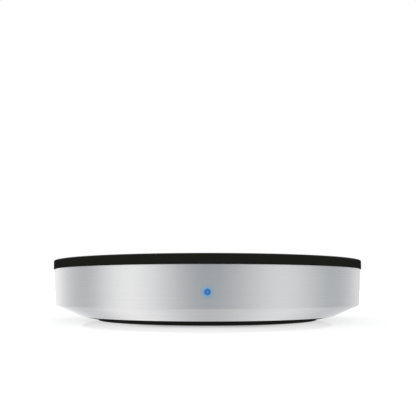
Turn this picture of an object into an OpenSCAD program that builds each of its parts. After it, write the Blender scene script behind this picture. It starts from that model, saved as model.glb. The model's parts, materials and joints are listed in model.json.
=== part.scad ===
// Round streaming media player. A turned silver shell is clamped between a black lid and a black base
// by four screws from below. The connectors look out of a flat panel, set back under the lid at the rear.
// The origin is on the axis at table level, +Z is up and the front faces -Y. All sizes are in millimetres.

/* [Enclosure] */
// Diameter of the lid, the widest part
lid_d = 120; // [119:0.5:123]
// Height of the player, standing on its foot ring
total_h = 22.8; // [22.6:0.1:24]
// Height of the lid's rim
lid_h = 3.3; // [3.1:0.1:3.4]
// How far the lid stands out past the shell
lid_overhang = 0.4; // [0.2:0.1:0.8]
// Height of the crease between the shell's wall and its chamfer
crease_h = 5.95; // [5.8:0.05:6.1]
// How much the shell's radius shrinks from the lid down to the crease
wall_taper = 0.6; // [0.4:0.1:1.0]
// Wall thickness of the shell
shell_t = 1.8; // [1.6:0.1:1.9]
// Height of the black base below the shell
base_h = 1.8; // [1.7:0.05:1.9]
// Diameter of the base where it meets the shell
base_top_d = 99.6; // [98.6:0.2:100.2]
// Diameter of the base at the table
base_bottom_d = 82; // [81.8:0.2:83]
// How far the foot ring stands below the base
foot_proud = 0.35; // [0.2:0.05:0.5]

/* [Front] */
// Height of the status light's centre
led_z = 11.1; // [10.5:0.1:12]
// Diameter of the status light's lens
led_d = 3.2; // [2:0.1:4]

/* [Rear panel] */
// Distance of the panel's face behind the axis
panel_y = 45; // [44.6:0.1:45.4]
// Place of the network socket across the panel
rj45_x = -26; // [-26.4:0.1:-25.6]
// Place of the video socket across the panel
hdmi_x = -7.5; // [-8:0.1:-7]
// Place of the USB socket across the panel
usb_x = 11.5; // [11:0.1:12]
// Place of the reset button across the panel
reset_x = 21.6; // [21.4:0.1:21.8]
// Place of the power inlet across the panel
dc_x = 30.6; // [30.4:0.1:30.8]

/* [Reset button] */
// Diameter of the button's nose
reset_d = 3; // [2.4:0.1:3.2]
// Travel of the button
reset_travel = 0.4; // [0.2:0.05:0.5]

/* [Circuit board] */
// Diameter of the main board
pcb_d = 108; // [106:0.5:108.5]
// Thickness of the main board
pcb_t = 1.6; // [1.2:0.2:1.6]

/* [Hidden] */
$fn = 96;

// Enclosure
over = 1;
gap = 0.1;
lid_r = lid_d / 2;
rim_z = total_h - lid_h;
lid_plate_t = 1.5;
lid_under_z = total_h - lid_plate_t;
lid_edge = 0.45;
lid_border = 3.6;
lid_groove_r = lid_r - lid_border;
lid_groove_w = 0.5;
lid_groove_deep = 0.25;
spigot_t = 1.2;
spigot_h = 1.6;
shell_top_r = lid_r - lid_overhang;
crease_r = shell_top_r - wall_taper;
base_top_r = base_top_d / 2;
base_bottom_r = base_bottom_d / 2;
lip_w = 1.4;
spigot_gap = 0.2;
lid_spigot_r = shell_top_r - shell_t - spigot_gap;

// Slopes of the shell's wall and chamfer
wall_slope = wall_taper / (rim_z - crease_h);
chamfer_slope = (crease_h - base_h) / (crease_r - base_top_r);
chamfer_rise = shell_t / cos(atan(chamfer_slope));
inner_corner_r = (crease_r - shell_t + wall_slope * (base_h + chamfer_rise - crease_h
    - base_top_r * chamfer_slope)) / (1 - wall_slope * chamfer_slope);

// Base and feet
base_in_z = foot_proud;
base_plate_t = 2;
base_top_z = base_in_z + base_plate_t;
foot_w = 2.2;
foot_out = 0.2;
foot_r = base_bottom_r + foot_out;
foot_seat = 0.6;
foot_notch = 8;
vent_count = 24;
vent_r = [17, 26];
vent_w = 1.4;
label_r = 14;
label_t = 0.15;
label_deep = 0.2;
spigot_base_h = 1.25;
ballast_r = [30, 42.8];
ballast_t = 1.5;
ballast_clear = 0.5;

// Main board and its screws
pcb_up = 0.65;
pcb_z = crease_h + pcb_up;
pcb_top = pcb_z + pcb_t;
pcb_r = pcb_d / 2;
panel_t = 1.6;
panel_in_y = panel_y - panel_t;
panel_board_gap = 0.3;
port_in = 0.4;
port_y = panel_y - port_in;
hole_clear = 0.2;
case_screw_r = 35.5;
case_screw_angles = [14, 166, 232, 308];
case_hole_r = 1.6;
case_thread_r = 1.25;
case_post_r = 3;
case_boss_r = 3.6;
case_head_r = 2.7;
case_head_h = 1.7;
case_shank_h = 14;
case_seat_up = 0.25;
case_seat_z = base_top_z + case_seat_up;
case_well_r = case_head_r + 0.3;
case_thread_spare = 1.2;
board_screw_points = [[-7.5, 28.8], [0, -33]];
board_hole_r = 1.3;
board_thread_r = 1.15;
board_boss_r = 3;
board_head_r = 2.4;
board_head_h = 1.6;
board_shank_h = 5;
board_thread_spare = 0.4;
running = 0.05;

// Cross recess of a screw: its share of the head's size, and its arms' half-width over their length
recess_share = 0.6;
recess_arm = 0.2;

// Rear notch of the shell
notch_side = 0.8;
notch_hw = sqrt(pow(wall_r(rim_z) - shell_t, 2) - pow(panel_in_y, 2)) - notch_side;

// Network socket
rj45_size = [16, 16, 11.4];
rj45_sunk = 1.3;
rj45_z = pcb_top - rj45_sunk;
rj45_skin = 0.3;
rj45_mouth = [11.8, 12.5, 7];
rj45_floor = 2.5;
rj45_mouth_z = rj45_z + rj45_floor;
rj45_latch = [6.2, 9, 1.5];
rj45_pitch = 1.02;
rj45_wire = 0.35;
rj45_wire_in = 1.8;
rj45_wire_flat = 4;
rj45_wire_foot = 5.3;
rj45_wire_tip = 6.55;
rj45_light = [3, 4, 1.2];
rj45_light_x = 5.6;
rj45_light_up = 0.2;

// Video socket
hdmi_size = [15, 12.2, 6.15];
hdmi_skin = 0.35;
hdmi_corner = 1.9;
hdmi_block = 3;
hdmi_tongue = [10.8, 7.3, 1.1];
hdmi_tongue_up = 2.85;
hdmi_tongue_z = pcb_top + hdmi_tongue_up;
hdmi_strip = [0.45, 6, 0.1];
strip_tip = 0.4;

// USB socket
usb_size = [13.1, 14, 5.75];
usb_skin = 0.3;
usb_block = 3;
usb_tongue = [11.1, 8.7, 1.84];
usb_tongue_up = 3.15;
usb_tongue_z = pcb_top + usb_tongue_up;
usb_strip = [1, 8, 0.12];
usb_strip_x = [-3.5, -1, 1, 3.5];

// Power inlet
dc_size = [8, 12.2, 9];
dc_up = 4.5;
dc_z = pcb_top + dc_up;
dc_back = 0.2;
dc_nose_r = 3.7;
dc_bore_r = 3.1;
dc_bore_deep = 10;
dc_pin_r = 1;
dc_pin_h = 9;
dc_tip = 0.4;
dc_spring = [1.6, 6, 0.2];
dc_spring_up = 0.3;

// Reset button and its switch
reset_up = 2.2;
reset_z = pcb_top + reset_up;
reset_r = reset_d / 2;
reset_recess = 0.3;
reset_flange_r = 2.1;
reset_flange_t = 0.8;
reset_play = 0.2;
reset_stub_r = 0.9;
switch_size = [4.4, 3.4, 3.9];
switch_gap = 2.4;
switch_face_y = panel_in_y - switch_gap;
stem_r = 0.7;
stem_in = 1.1;
stem_out = 0.6;

// Status light, lens and infrared receiver
front_board_size = [12, 1, 12.8];
front_board_y = -53.1;
led_size = [3.5, 1.9, 2.8];
led_face_y = front_board_y - front_board_size.y / 2;
lens_face_y = -wall_r(led_z) + running;
lens_flange_w = 0.9;
lens_flange_r = led_d / 2 + lens_flange_w;
lens_flange_gap = 0.2;
lens_flange_y = -(wall_r(led_z) - shell_t) + lens_flange_gap;
lens_flange_t = 0.7;
lens_stem_r = led_d / 2 - 0.3;
ir_size = [6.8, 1.5, 2.9];
ir_dome_r = 1.1;
ir_dome_h = 0.5;

// Processor and heatsink
chip_y = -2;
processor_size = [19, 19, 1.4];
pad_size = [17, 17, 0.5];
sink_w = 30;
sink_base_t = 2;
sink_fin_h = 5;
sink_fin_t = 1;
sink_fins = 9;
sink_z = pcb_top + processor_size.z + pad_size.z;
pin_off = 12.6;
pin_hole_r = 1.2;
pin_clear_r = 2.8;
pin_play = 0.2;
pin_spring_h = 2.7;
pin_head_z = sink_z + sink_base_t + pin_spring_h;
pin_head_r = pin_hole_r + 1;
pin_head_h = 0.9;
pin_barb_h = 1.4;
pin_barb_r = pin_hole_r + 0.3;
spring_r = 1.7;
spring_wire_r = 0.25;
spring_turns = 4;
spring_steps = 14;

// Other pieces on the board
memory_points = [[21.5, -10.5], [21.5, 5.5]];
memory_size = [9, 13, 1.1];
flash_size = [12, 18.4, 1.1];
flash_at = [-24.5, -6];
flash_lead = [0.3, 0.7, 0.2];
flash_leads = 20;
flash_lead_pitch = 0.55;
flash_lead_in = 0.1;
network_chip_size = [7, 7, 0.9];
network_chip_at = [-14.5, 20.5];
transformer_size = [15, 11, 5.6];
transformer_at = [-26, 20.5];
regulator_size = [5, 5, 0.9];
regulator_points = [[33.5, -3], [33.5, -11], [33.5, -19]];
inductor_size = [6, 6, 3];
inductor_points = [[41.5, -3], [41.5, -11], [41.5, -19]];
inductor_cap_r = 2.4;
inductor_cap_h = 0.4;
can_points = [[30.6, 26], [38.5, 20.5], [23, 21.5]];
can_r = 3.15;
can_h = 7.7;
can_foot = [6.6, 6.6, 0.8];
chip_cap_size = [1, 0.5, 0.5];
chip_cap_rows = 2;
chip_cap_count = 12;
chip_cap_pitch = 2.2;
chip_cap_y = 15;
crystal_at = [10, 21.5];
crystal_size = [11, 4.6, 3.4];

// Wireless board, antenna and cable
wifi_at = [-38, -14];
wifi_size = [14, 18, 0.8];
wifi_shield_size = [11, 12, 1.6];
wifi_shield_dy = -2;
plug_at = [-38, -7];
plug_r = 1.3;
plug_h = 1.2;
antenna_size = [7, 28, 0.8];
antenna_at = [-44, -5];
cable_r = 0.55;
cable_end_in = 1;
cable_bend = 3;
cable_steps = 8;
cable_sides = 8;

// Radius of the shell's outer wall at height z
function wall_r(z) = crease_r + (z - crease_h) * wall_slope;

// Radius of the chamfer's inner face at height z
function chamfer_in_r(z) = base_top_r + (z - base_h - chamfer_rise) / chamfer_slope;

// Height of the chamfer's inner face at radius r
function chamfer_in_z(r) = base_h + chamfer_rise + (r - base_top_r) * chamfer_slope;

// Points on an arc about c, from angle a to angle b
function arc(c, r, a, b, steps) = [
    for (i = [0:steps]) c + r * [cos(a + (b - a) * i / steps), sin(a + (b - a) * i / steps)]
];

// Copies at the four case screws
module at_case_screws() {
    for (a = case_screw_angles)
        rotate(a)
            translate([case_screw_r, 0, 0])
                children();
}

// Copies at points in the plane
module at_points(points) {
    for (p = points)
        translate([p.x, p.y, 0])
            children();
}

// A block centred on x and y, standing on height z
module block(at, z, size) {
    translate([at.x - size.x / 2, at.y - size.y / 2, z])
        cube(size);
}

// A block centred on x that runs back from the front face y1, standing on height z
module port_block(x, y1, z, size) {
    translate([x - size.x / 2, y1 - size.y, z])
        cube(size);
}

// The hole through the rear panel for a socket of that size, standing on height z
module port_hole(x, z, size) {
    port_block(x, panel_y + over, z - hole_clear, size + 2 * hole_clear * [1, 0, 1]);
}

// A round bar along Y
module bar_y(x, z, r, y0, y1) {
    translate([x, y0, z])
        rotate([-90, 0, 0])
            cylinder(r = r, h = y1 - y0);
}

// A cross recess in a screw head, open downwards at height 0
module cross_recess(r, deep) {
    for (a = [0, 90])
        rotate(a)
            translate([-r, -r * recess_arm, -over])
                cube([2 * r, 2 * r * recess_arm, over + deep]);
}

// A tube along a path. sides holds, for each point, a unit vector square to the path
module tube(path, sides, r, n) {
    last = len(path) - 1;
    points = [
        for (i = [0:last])
            let (run = path[min(i + 1, last)] - path[max(i - 1, 0)],
                 lift = cross(run / norm(run), sides[i]))
                for (j = [0:n - 1]) path[i] + r * (cos(360 * j / n) * sides[i] + sin(360 * j / n) * lift)
    ];
    walls = [
        for (i = [0:last - 1], j = [0:n - 1])
            [i * n + j, (i + 1) * n + j, (i + 1) * n + (j + 1) % n, i * n + (j + 1) % n]
    ];
    start = [for (j = [0:n - 1]) j];
    end = [for (j = [n - 1:-1:0]) last * n + j];
    polyhedron(points = points, faces = concat([start], walls, [end]), convexity = 6);
}

// Glossy black lid with a spigot inside the shell and four screw posts
module top_lid() {
    color("#1d1d1b")
        difference() {
            union() {
                difference() {
                    rotate_extrude($fn = 240)
                        polygon(concat(
                            [[0, lid_under_z],
                             [lid_spigot_r - spigot_t, lid_under_z],
                             [lid_spigot_r - spigot_t, rim_z - spigot_h],
                             [lid_spigot_r, rim_z - spigot_h],
                             [lid_spigot_r, rim_z],
                             [lid_r, rim_z]],
                            arc([lid_r - lid_edge, total_h - lid_edge], lid_edge, 0, 90, 5),
                            [[lid_groove_r + lid_groove_w, total_h],
                             [lid_groove_r + lid_groove_w / 2, total_h - lid_groove_deep],
                             [lid_groove_r, total_h],
                             [0, total_h]]
                        ));
                    translate([-notch_hw - over, 0, rim_z - spigot_h - over])
                        cube([2 * (notch_hw + over), lid_r, spigot_h + over]);
                }
                at_case_screws()
                    translate([0, 0, pcb_top])
                        cylinder(r = case_post_r, h = lid_under_z - pcb_top + lid_plate_t / 2);
            }
            at_case_screws()
                translate([0, 0, pcb_top - over])
                    cylinder(r = case_thread_r, h = case_seat_z + case_shank_h + case_thread_spare - pcb_top);
        }
}

// Silver ring with a steep wall, a crease and a chamfer that leads in under it
module side_shell() {
    color("#c9cacc")
        difference() {
            rotate_extrude($fn = 240)
                polygon([
                    [base_top_r - lip_w, base_h],
                    [base_top_r, base_h],
                    [crease_r, crease_h],
                    [shell_top_r, rim_z],
                    [shell_top_r - shell_t, rim_z],
                    [inner_corner_r, chamfer_in_z(inner_corner_r)],
                    [base_top_r - lip_w, chamfer_in_z(base_top_r - lip_w)]
                ]);
            translate([-notch_hw, 0, crease_h])
                cube([2 * notch_hw, lid_r, total_h]);
            bar_y(0, led_z, led_d / 2 + running, -lid_r, -lid_r + 5 * shell_t);
        }
}

// Black base with a seat for the foot ring, air slots, screw wells and board posts
module base_plate() {
    edge_slope = (base_top_r - base_bottom_r) / base_h;
    color("#20201e")
        difference() {
            union() {
                rotate_extrude($fn = 240)
                    polygon([
                        [0, base_in_z],
                        [foot_r - foot_w - gap, base_in_z],
                        [foot_r - foot_w - gap, base_in_z + foot_seat],
                        [foot_r + gap, base_in_z + foot_seat],
                        [foot_r + gap, base_in_z],
                        [base_bottom_r + base_in_z * edge_slope, base_in_z],
                        [base_top_r, base_h],
                        [base_top_r - lip_w - gap, base_h],
                        [base_top_r - lip_w - gap, base_top_z + spigot_base_h],
                        [base_top_r - 2 * lip_w, base_top_z + spigot_base_h],
                        [base_top_r - 2 * lip_w, base_top_z],
                        [0, base_top_z]
                    ]);
                at_case_screws()
                    translate([0, 0, base_in_z + base_plate_t / 2])
                        cylinder(r = case_boss_r, h = pcb_z - base_in_z - base_plate_t / 2);
                at_points(board_screw_points)
                    translate([0, 0, base_in_z + base_plate_t / 2])
                        cylinder(r = board_boss_r, h = pcb_z - base_in_z - base_plate_t / 2);
            }
            translate([0, 0, -over])
                cylinder(r = label_r + gap, h = over + base_in_z + label_deep);
            for (i = [0:vent_count - 1])
                rotate((i + 0.5) * 360 / vent_count)
                    translate([vent_r[0], -vent_w / 2, -over])
                        cube([vent_r[1] - vent_r[0], vent_w, base_top_z + 2 * over]);
            at_case_screws() {
                translate([0, 0, -over])
                    cylinder(r = case_hole_r, h = pcb_z + 2 * over);
                translate([0, 0, -over])
                    cylinder(r = case_well_r, h = over + case_seat_z);
            }
            at_points(board_screw_points)
                translate([0, 0, pcb_top - board_shank_h - board_thread_spare])
                    cylinder(r = board_thread_r, h = board_shank_h);
        }
}

// Soft ring that the player stands on, with air notches at the rear
module foot_ring() {
    color("#2a2a2a")
        difference() {
            rotate_extrude($fn = 240)
                translate([foot_r - foot_w, 0])
                    square([foot_w, base_in_z + foot_seat]);
            for (a = [60, 90, 120])
                rotate(a)
                    translate([foot_r - foot_w - over, -foot_notch / 2, -over])
                        cube([foot_w + 2 * over, foot_notch, over + base_in_z]);
        }
}

// Black panel across the rear notch, with a shelf that closes the notch's floor
module rear_panel() {
    shelf_t = 1.2;
    shelf_gap = 0.15;
    color("#232321")
        difference() {
            union() {
                translate([-notch_hw + gap, panel_in_y, crease_h - shelf_t])
                    cube([2 * (notch_hw - gap), panel_t, rim_z - crease_h + shelf_t]);
                intersection() {
                    cylinder(r = lid_spigot_r - spigot_t - gap, h = lid_under_z - gap, $fn = 240);
                    translate([-notch_hw + gap, panel_in_y, rim_z - over])
                        cube([2 * (notch_hw - gap), panel_t, lid_d]);
                }
                intersection() {
                    rotate_extrude($fn = 240)
                        polygon([
                            [panel_in_y - over, crease_h - shelf_t],
                            [chamfer_in_r(crease_h - shelf_t) - shelf_gap, crease_h - shelf_t],
                            [chamfer_in_r(crease_h) - shelf_gap, crease_h],
                            [panel_in_y - over, crease_h]
                        ]);
                    translate([-lid_r, panel_in_y, 0])
                        cube([lid_d, lid_r, crease_h + over]);
                }
            }
            // Ends of the panel below the notch, cleared for the shell's chamfer
            difference() {
                translate([-lid_r, panel_in_y - over, crease_h - shelf_t - over])
                    cube([lid_d, lid_r, shelf_t + over]);
                rotate_extrude($fn = 240)
                    polygon([
                        [0, 0],
                        [chamfer_in_r(crease_h - shelf_t) - shelf_gap, crease_h - shelf_t],
                        [chamfer_in_r(crease_h) - shelf_gap, crease_h],
                        [chamfer_in_r(crease_h) - shelf_gap, crease_h + over],
                        [0, crease_h + over]
                    ]);
            }
            port_hole(rj45_x, rj45_z, rj45_size);
            port_hole(hdmi_x, pcb_top, hdmi_size);
            port_hole(usb_x, pcb_top, usb_size);
            bar_y(dc_x, dc_z, dc_nose_r + hole_clear, panel_in_y - over, panel_y + over);
            bar_y(reset_x, reset_z, reset_r + gap, panel_in_y - over, panel_y + over);
        }
}

// Clear lens of the status light, held by a flange behind the shell's wall
module led_lens() {
    color("#7fb2ff")
        union() {
            bar_y(0, led_z, led_d / 2, lens_face_y, lens_flange_y + lens_flange_t / 2);
            bar_y(0, led_z, lens_flange_r, lens_flange_y, lens_flange_y + lens_flange_t);
            bar_y(0, led_z, lens_stem_r, lens_flange_y, led_face_y - led_size.y - gap);
        }
}

// Blank label in a recess under the base
module rating_label() {
    color("#c8c8c4")
        translate([0, 0, base_in_z + label_deep - label_t])
            cylinder(r = label_r, h = label_t);
}

// Steel ring that keeps the light player steady against its cables
module ballast_ring() {
    color("#8f9296")
        difference() {
            translate([0, 0, base_top_z])
                cylinder(r = ballast_r[1], h = ballast_t);
            translate([0, 0, base_top_z - over])
                cylinder(r = ballast_r[0], h = ballast_t + 2 * over);
            at_case_screws()
                cylinder(r = case_boss_r + ballast_clear, h = base_top_z + ballast_t + over);
            at_points(board_screw_points)
                cylinder(r = board_boss_r + ballast_clear, h = base_top_z + ballast_t + over);
        }
}

// Four screws that clamp base, board and lid
module case_screws() {
    color("#5a5d62")
        at_case_screws()
            translate([0, 0, case_seat_z - case_head_h])
                difference() {
                    union() {
                        cylinder(r = case_head_r, h = case_head_h);
                        cylinder(r = case_thread_r - running, h = case_head_h + case_shank_h);
                    }
                    cross_recess(case_head_r * recess_share, case_head_h * recess_share);
                }
}

// Two screws that hold the board to the base
module board_screws() {
    color("#b9bcc0")
        at_points(board_screw_points)
            difference() {
                union() {
                    translate([0, 0, pcb_top])
                        cylinder(r = board_head_r, h = board_head_h);
                    translate([0, 0, pcb_top - board_shank_h])
                        cylinder(r = board_thread_r - running, h = board_shank_h + board_head_h / 2);
                }
                translate([0, 0, pcb_top + board_head_h])
                    mirror([0, 0, 1])
                        cross_recess(board_head_r * recess_share, board_head_h * recess_share);
            }
}

// Round main board, cut straight behind the panel and notched for the network socket
module main_board() {
    color("#1f6b3f")
        difference() {
            translate([0, 0, pcb_z])
                cylinder(r = pcb_r, h = pcb_t, $fn = 180);
            translate([-lid_r, panel_in_y - panel_board_gap, pcb_z - over])
                cube([lid_d, lid_r, pcb_t + 2 * over]);
            port_block(rj45_x, lid_r, pcb_z - over,
                [rj45_size.x + 2 * hole_clear, lid_r - port_y + rj45_size.y + hole_clear, pcb_t + 2 * over]);
            at_case_screws()
                cylinder(r = case_hole_r, h = total_h);
            at_points(board_screw_points)
                cylinder(r = board_hole_r, h = total_h);
            translate([0, chip_y, 0])
                for (s = [-1, 1])
                    translate([s * pin_off, s * pin_off, 0])
                        cylinder(r = pin_hole_r, h = total_h);
        }
}

// Upright board at the front that carries the status light and the infrared receiver
module front_board() {
    color("#1f6b3f")
        block([0, front_board_y], pcb_top, front_board_size);
}

// Blue light source behind the lens
module status_led() {
    color("#4a86e8")
        port_block(0, led_face_y, led_z - led_size.z / 2, led_size);
}

// Infrared receiver that looks out through the lid's rim
module ir_receiver() {
    color("#26262a")
        union() {
            port_block(0, led_face_y, pcb_top + front_board_size.z - ir_size.z, ir_size);
            bar_y(0, pcb_top + front_board_size.z - ir_size.z / 2, ir_dome_r,
                led_face_y - ir_size.y - ir_dome_h, led_face_y - ir_size.y / 2);
        }
}

// Main processor under the heatsink
module processor() {
    color("#2c2c2e")
        block([0, chip_y], pcb_top, processor_size);
}

// Soft pad between the processor and the heatsink
module thermal_pad() {
    color("#9fb3c8")
        block([0, chip_y], pcb_top + processor_size.z, pad_size);
}

// Finned aluminium heatsink
module heatsink() {
    pitch = (sink_w - sink_fin_t) / (sink_fins - 1);
    color("#a9adb2")
        translate([0, chip_y, 0])
            difference() {
                union() {
                    block([0, 0], sink_z, [sink_w, sink_w, sink_base_t]);
                    for (i = [0:sink_fins - 1])
                        block([(i - (sink_fins - 1) / 2) * pitch, 0], sink_z + sink_base_t / 2,
                            [sink_fin_t, sink_w, sink_base_t / 2 + sink_fin_h]);
                }
                for (s = [-1, 1])
                    translate([s * pin_off, s * pin_off, 0]) {
                        cylinder(r = pin_hole_r, h = total_h);
                        translate([0, 0, sink_z + sink_base_t])
                            cylinder(r = pin_clear_r, h = total_h);
                    }
            }
}

// Two barbed pins that hold the heatsink down
module heatsink_pins() {
    shaft_r = pin_hole_r - pin_play;
    color("#e8e6df")
        translate([0, chip_y, 0])
            for (s = [-1, 1])
                translate([s * pin_off, s * pin_off, 0])
                    rotate_extrude()
                        polygon([
                            [0, pcb_z - pin_barb_h],
                            [shaft_r / 2, pcb_z - pin_barb_h],
                            [pin_barb_r, pcb_z - gap],
                            [shaft_r, pcb_z - gap],
                            [shaft_r, pin_head_z],
                            [pin_head_r, pin_head_z],
                            [pin_head_r, pin_head_z + pin_head_h],
                            [0, pin_head_z + pin_head_h]
                        ]);
}

// Coil springs under the heads of the heatsink's pins
module heatsink_springs() {
    rise = pin_head_z - sink_z - sink_base_t - 2 * (spring_wire_r + running);
    steps = spring_turns * spring_steps;
    helix = [
        for (i = [0:steps])
            let (a = 360 * i / spring_steps) [spring_r * cos(a), spring_r * sin(a), rise * i / steps]
    ];
    outward = [for (i = [0:steps]) let (a = 360 * i / spring_steps) [cos(a), sin(a), 0]];
    color("#b4b7bb")
        for (s = [-1, 1])
            translate([s * pin_off, chip_y + s * pin_off, sink_z + sink_base_t + spring_wire_r + running])
                tube(helix, outward, spring_wire_r, 6);
}

// Two memory chips beside the heatsink
module memory_chips() {
    color("#29292b")
        for (p = memory_points)
            block(p, pcb_top, memory_size);
}

// Flash storage chip with a row of leads along each end
module flash_chip() {
    lead_y = (flash_size.y + flash_lead.y) / 2 - flash_lead_in;
    color("#2b2b2d")
        union() {
            block(flash_at, pcb_top, flash_size);
            for (i = [0:flash_leads - 1], s = [-1, 1])
                block(flash_at + [(i - (flash_leads - 1) / 2) * flash_lead_pitch, s * lead_y],
                    pcb_top, flash_lead);
        }
}

// Network controller chip
module network_chip() {
    color("#2a2a2c")
        block(network_chip_at, pcb_top, network_chip_size);
}

// Isolating transformer of the network socket
module network_transformer() {
    color("#303034")
        block(transformer_at, pcb_top, transformer_size);
}

// Three voltage regulator chips
module regulator_chips() {
    color("#2a2a2c")
        for (p = regulator_points)
            block(p, pcb_top, regulator_size);
}

// Three shielded inductors beside the regulators
module power_inductors() {
    color("#4a4a4d")
        for (p = inductor_points) {
            block(p, pcb_top, inductor_size - [0, 0, inductor_cap_h]);
            translate([p.x, p.y, pcb_top + inductor_size.z / 2])
                cylinder(r = inductor_cap_r, h = inductor_size.z / 2);
        }
}

// Three aluminium capacitors behind the power inlet
module bulk_capacitors() {
    color("#b8babd")
        for (p = can_points) {
            block(p, pcb_top, can_foot);
            translate([p.x, p.y, pcb_top + can_foot.z / 2])
                cylinder(r = can_r, h = can_h - can_foot.z / 2);
        }
}

// Rows of small ceramic capacitors behind the processor
module chip_capacitors() {
    color("#b79a72")
        for (row = [0:chip_cap_rows - 1], i = [0:chip_cap_count - 1])
            block([(i - (chip_cap_count - 1) / 2) * chip_cap_pitch, chip_cap_y + row * chip_cap_pitch / 2],
                pcb_top, chip_cap_size);
}

// Crystal in a metal can
module clock_crystal() {
    color("#c4c6c8")
        union() {
            block(crystal_at, pcb_top, [crystal_size.x - crystal_size.y, crystal_size.y, crystal_size.z]);
            for (s = [-1, 1])
                translate([crystal_at.x + s * (crystal_size.x - crystal_size.y) / 2, crystal_at.y, pcb_top])
                    cylinder(r = crystal_size.y / 2 - running, h = crystal_size.z - running);
        }
}

// Wireless daughter board
module wifi_board() {
    color("#1d4f7a")
        block(wifi_at, pcb_top, wifi_size);
}

// Metal shield over the wireless board's radio
module wifi_shield() {
    color("#c2c5c8")
        block(wifi_at + [0, wifi_shield_dy], pcb_top + wifi_size.z, wifi_shield_size);
}

// Coaxial plug at the wireless board's end
module antenna_plug() {
    color("#cfa84a")
        translate([plug_at.x, plug_at.y, pcb_top + wifi_size.z])
            cylinder(r = plug_r, h = plug_h);
}

// Thin cable from the plug up to the antenna, with a round bend at its top
module antenna_cable() {
    start = [plug_at.x, plug_at.y, pcb_top + wifi_size.z + plug_h];
    top_z = lid_under_z - antenna_size.z - cable_r - running;
    end = [antenna_at.x + antenna_size.x / 2 - cable_end_in, plug_at.y, top_z];
    bend = [
        for (i = [0:cable_steps])
            let (a = 90 * i / cable_steps)
                [start.x - cable_bend * (1 - cos(a)), start.y, top_z - cable_bend * (1 - sin(a))]
    ];
    path = concat([start], bend, [end]);
    color("#3a3a3c")
        tube(path, [for (p = path) [0, 1, 0]], cable_r, cable_sides);
}

// Flat antenna under the lid, above the metal shell
module wifi_antenna() {
    color("#2f7d4a")
        block(antenna_at, lid_under_z - antenna_size.z, antenna_size);
}

// Metal shield of the network socket
module rj45_shield() {
    color("#c3c6c9")
        difference() {
            port_block(rj45_x, port_y, rj45_z, rj45_size);
            port_block(rj45_x, port_y + over, rj45_z + rj45_skin,
                rj45_size - [2 * rj45_skin, rj45_skin - over, 2 * rj45_skin]);
        }
}

// Plastic body of the network socket, with the mouth for the plug and its latch
module rj45_housing() {
    inner = rj45_size - [2 * rj45_skin + gap, rj45_skin + gap, 2 * rj45_skin + gap];
    color("#262628")
        difference() {
            port_block(rj45_x, port_y, rj45_z + rj45_skin + gap / 2, inner);
            port_block(rj45_x, port_y + over, rj45_mouth_z, rj45_mouth + [0, over, 0]);
            port_block(rj45_x, port_y + over, rj45_mouth_z - rj45_latch.z, rj45_latch + [0, over, over]);
            for (s = [-1, 1])
                port_block(rj45_x + s * rj45_light_x, port_y + over,
                    rj45_mouth_z + rj45_mouth.z + rj45_light_up - gap / 2, rj45_light + [gap, over, gap]);
        }
}

// Eight spring wires of the network socket
module rj45_contacts() {
    back = port_y - rj45_mouth.y;
    foot = rj45_mouth_z + rj45_wire_foot;
    tip = rj45_mouth_z + rj45_wire_tip;
    color("#d2ab4c")
        for (i = [0:7])
            translate([rj45_x + (i - 3.5) * rj45_pitch + rj45_wire / 2, 0, 0])
                rotate([90, 0, -90])
                    mirror([1, 0, 0])
                        linear_extrude(rj45_wire)
                            polygon([
                                [back, foot],
                                [back + rj45_wire_flat + gap, foot],
                                [port_y - rj45_wire_in, tip],
                                [port_y - rj45_wire_in, tip + rj45_wire],
                                [back + rj45_wire_flat, foot + rj45_wire],
                                [back, foot + rj45_wire]
                            ]);
}

// Two small link lights above the network socket's mouth
module rj45_lights() {
    color("#9fd08a")
        for (s = [-1, 1])
            port_block(rj45_x + s * rj45_light_x, port_y, rj45_mouth_z + rj45_mouth.z + rj45_light_up,
                rj45_light);
}

// Outline of the video socket, with its lower corners cut, set in by d
module hdmi_outline(d) {
    w = hdmi_size.x / 2 - d;
    c = hdmi_corner - d * (2 - sqrt(2));
    polygon([
        [-w + c, d],
        [w - c, d],
        [w, d + c],
        [w, hdmi_size.z - d],
        [-w, hdmi_size.z - d],
        [-w, d + c]
    ]);
}

// A solid along Y with the video socket's outline
module hdmi_bar(d, y0, y1) {
    translate([hdmi_x, y1, pcb_top])
        rotate([90, 0, 0])
            linear_extrude(y1 - y0)
                hdmi_outline(d);
}

// Metal shell of the video socket
module hdmi_shell() {
    color("#c6c8ca")
        difference() {
            hdmi_bar(0, port_y - hdmi_size.y, port_y);
            hdmi_bar(hdmi_skin, port_y - hdmi_size.y + hdmi_skin, port_y + over);
        }
}

// Insulating block and tongue of the video socket
module hdmi_insulator() {
    back = port_y - hdmi_size.y + hdmi_skin;
    color("#1f1f21")
        union() {
            hdmi_bar(hdmi_skin + running, back, back + hdmi_block);
            translate([hdmi_x - hdmi_tongue.x / 2, back + hdmi_block / 2, hdmi_tongue_z])
                cube(hdmi_tongue + [0, hdmi_block / 2, 0]);
        }
}

// Nineteen contact strips on the two faces of the video socket's tongue
module hdmi_contacts() {
    y1 = port_y - hdmi_size.y + hdmi_skin + hdmi_block + hdmi_strip.y + strip_tip;
    color("#d2ab4c") {
        for (i = [0:9])
            port_block(hdmi_x + (i - 4.5), y1, hdmi_tongue_z + hdmi_tongue.z, hdmi_strip);
        for (i = [0:8])
            port_block(hdmi_x + (i - 4), y1, hdmi_tongue_z - hdmi_strip.z, hdmi_strip);
    }
}

// Metal shell of the USB socket
module usb_shell() {
    color("#c6c8ca")
        difference() {
            port_block(usb_x, port_y, pcb_top, usb_size);
            port_block(usb_x, port_y + over, pcb_top + usb_skin,
                usb_size - [2 * usb_skin, usb_skin - over, 2 * usb_skin]);
        }
}

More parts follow.
